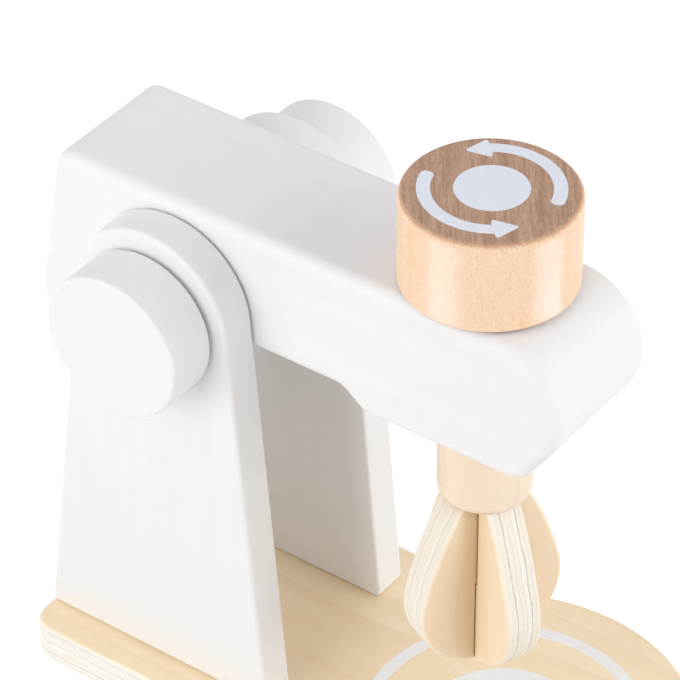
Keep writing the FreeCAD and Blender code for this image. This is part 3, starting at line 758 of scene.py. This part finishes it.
def lay_floor():
    """A plain white floor that keeps the shadow, and glows where it is seen, most of all far away."""
    bpy.ops.mesh.primitive_plane_add(size=FLOOR_SIZE, location=(0, 0, -FLOOR_DROP))
    floor = bpy.context.object
    floor.name = "studio_floor"
    finish, tree, surface = new_finish("Studio floor")
    surface["Base Color"].default_value = (FLOOR_GREY, FLOOR_GREY, FLOOR_GREY, 1)
    surface["Roughness"].default_value = 0.9
    surface["Specular IOR Level"].default_value = 0.1
    from_object = vector_of(tree, "LENGTH", add(tree, "ShaderNodeNewGeometry").outputs["Position"])
    lift = ramp(tree, from_object, FLOOR_FADE_START, FLOOR_FADE_END, start=FLOOR_LIFT)
    tree.links.new(times(tree, white_where_seen(tree, 0.0), lift), surface["Emission Strength"])
    surface["Emission Color"].default_value = (1, 1, 1, 1)
    floor.data.materials.append(finish)


def surround():
    """A white room: full white where it is seen, and a softer even light on the object."""
    world = bpy.data.worlds.new("White room")
    world.use_nodes = True
    bpy.context.scene.world = world
    tree = world.node_tree
    background = tree.nodes["Background"].inputs
    background["Color"].default_value = (1, 1, 1, 1)
    tree.links.new(white_where_seen(tree, WORLD_LIGHT), background["Strength"])


def hang_lamp(name, place, target, width, height, power, color):
    """A flat lamp that faces a target."""
    lamp = bpy.data.lights.new(name, "AREA")
    lamp.shape = "RECTANGLE"
    lamp.size = width
    lamp.size_y = height
    lamp.energy = power
    lamp.color = color
    hung = bpy.data.objects.new(name, lamp)
    hung.location = place
    hung.rotation_euler = (place - target).to_track_quat("Z", "Y").to_euler()
    bpy.context.scene.collection.objects.link(hung)
    return hung


def light_studio():
    """Softboxes low on the left, across the right and weakly behind, with a cool fill above the left."""
    for name, azimuth_deg, elevation_deg, power, color in (
        ("left_softbox", -102, 14, 11, (1, 0.975, 0.935)),
        ("left_fill", -102, 45, 2.7, (0.65, 0.8, 1)),
        ("front_softbox", 0, 25, 4.4, (0.9, 0.94, 1)),
        ("right_softbox", 20, 20, 7.2, (0.94, 0.97, 1)),
        ("side_softbox", 55, 30, 3, (1, 1, 0.95)),
        ("rear_softbox", 180, 45, 5, (0.87, 0.89, 1)),
    ):
        towards = plan_direction(math.radians(azimuth_deg)) * math.cos(math.radians(elevation_deg))
        towards.z = math.sin(math.radians(elevation_deg))
        place = CAMERA_TARGET + towards * SOFTBOX_DISTANCE
        hang_lamp(name, place, CAMERA_TARGET, SOFTBOX_SIZE, SOFTBOX_SIZE, power, color)


def add_glints():
    """Two low lamps that show only as the tall soft reflections on the lacquer of the dial."""
    dial = middle("dial_knob")
    lacquered = bpy.data.collections.new("lacquered_dial")
    lacquered.objects.link(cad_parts["dial_knob"])
    for name, azimuth_deg, width in (("left_glint", -112, 0.16), ("right_glint", 17, 0.136)):
        place = dial + plan_direction(math.radians(azimuth_deg)) * GLINT_DISTANCE
        place.z = GLINT_LEVEL
        power = GLINT_WATTS_PER_METRE * width
        glint = hang_lamp(name, place, dial, width, GLINT_HEIGHT, power, GLINT_COLOR)
        glint.visible_diffuse = False
        glint.visible_camera = False
        glint.light_linking.receiver_collection = lacquered


def place_camera():
    """The camera, upright apart from a slight roll; its azimuth is counted from -Y."""
    back = plan_direction(CAMERA_AZIMUTH - math.pi / 2) * math.cos(CAMERA_ELEVATION)
    back.z = math.sin(CAMERA_ELEVATION)
    lens = bpy.data.cameras.new("studio_camera")
    lens.lens = CAMERA_LENS_MM
    lens.sensor_width = SENSOR_MM
    camera = bpy.data.objects.new("studio_camera", lens)
    camera.location = CAMERA_TARGET + back * CAMERA_DISTANCE
    upright = back.to_track_quat("Z", "Y")
    camera.rotation_euler = (upright @ Quaternion(Z, CAMERA_ROLL)).to_euler()
    bpy.context.scene.collection.objects.link(camera)
    bpy.context.scene.camera = camera


# ---------------------------------------------------------------- the whole object

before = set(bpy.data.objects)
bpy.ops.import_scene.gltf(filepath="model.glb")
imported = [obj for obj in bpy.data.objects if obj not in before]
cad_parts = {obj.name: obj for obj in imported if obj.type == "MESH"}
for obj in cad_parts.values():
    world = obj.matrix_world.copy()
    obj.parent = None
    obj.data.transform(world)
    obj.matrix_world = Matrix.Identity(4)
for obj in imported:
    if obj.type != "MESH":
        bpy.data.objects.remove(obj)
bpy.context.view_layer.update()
dress_painted_pieces()
dress_base()
dress_whisk_blades()
dress_beech()
dress_fittings()
mark_dial()
mark_base()
lay_floor()
surround()
light_studio()
add_glints()
place_camera()
bpy.context.scene.view_settings.view_transform = "Standard"
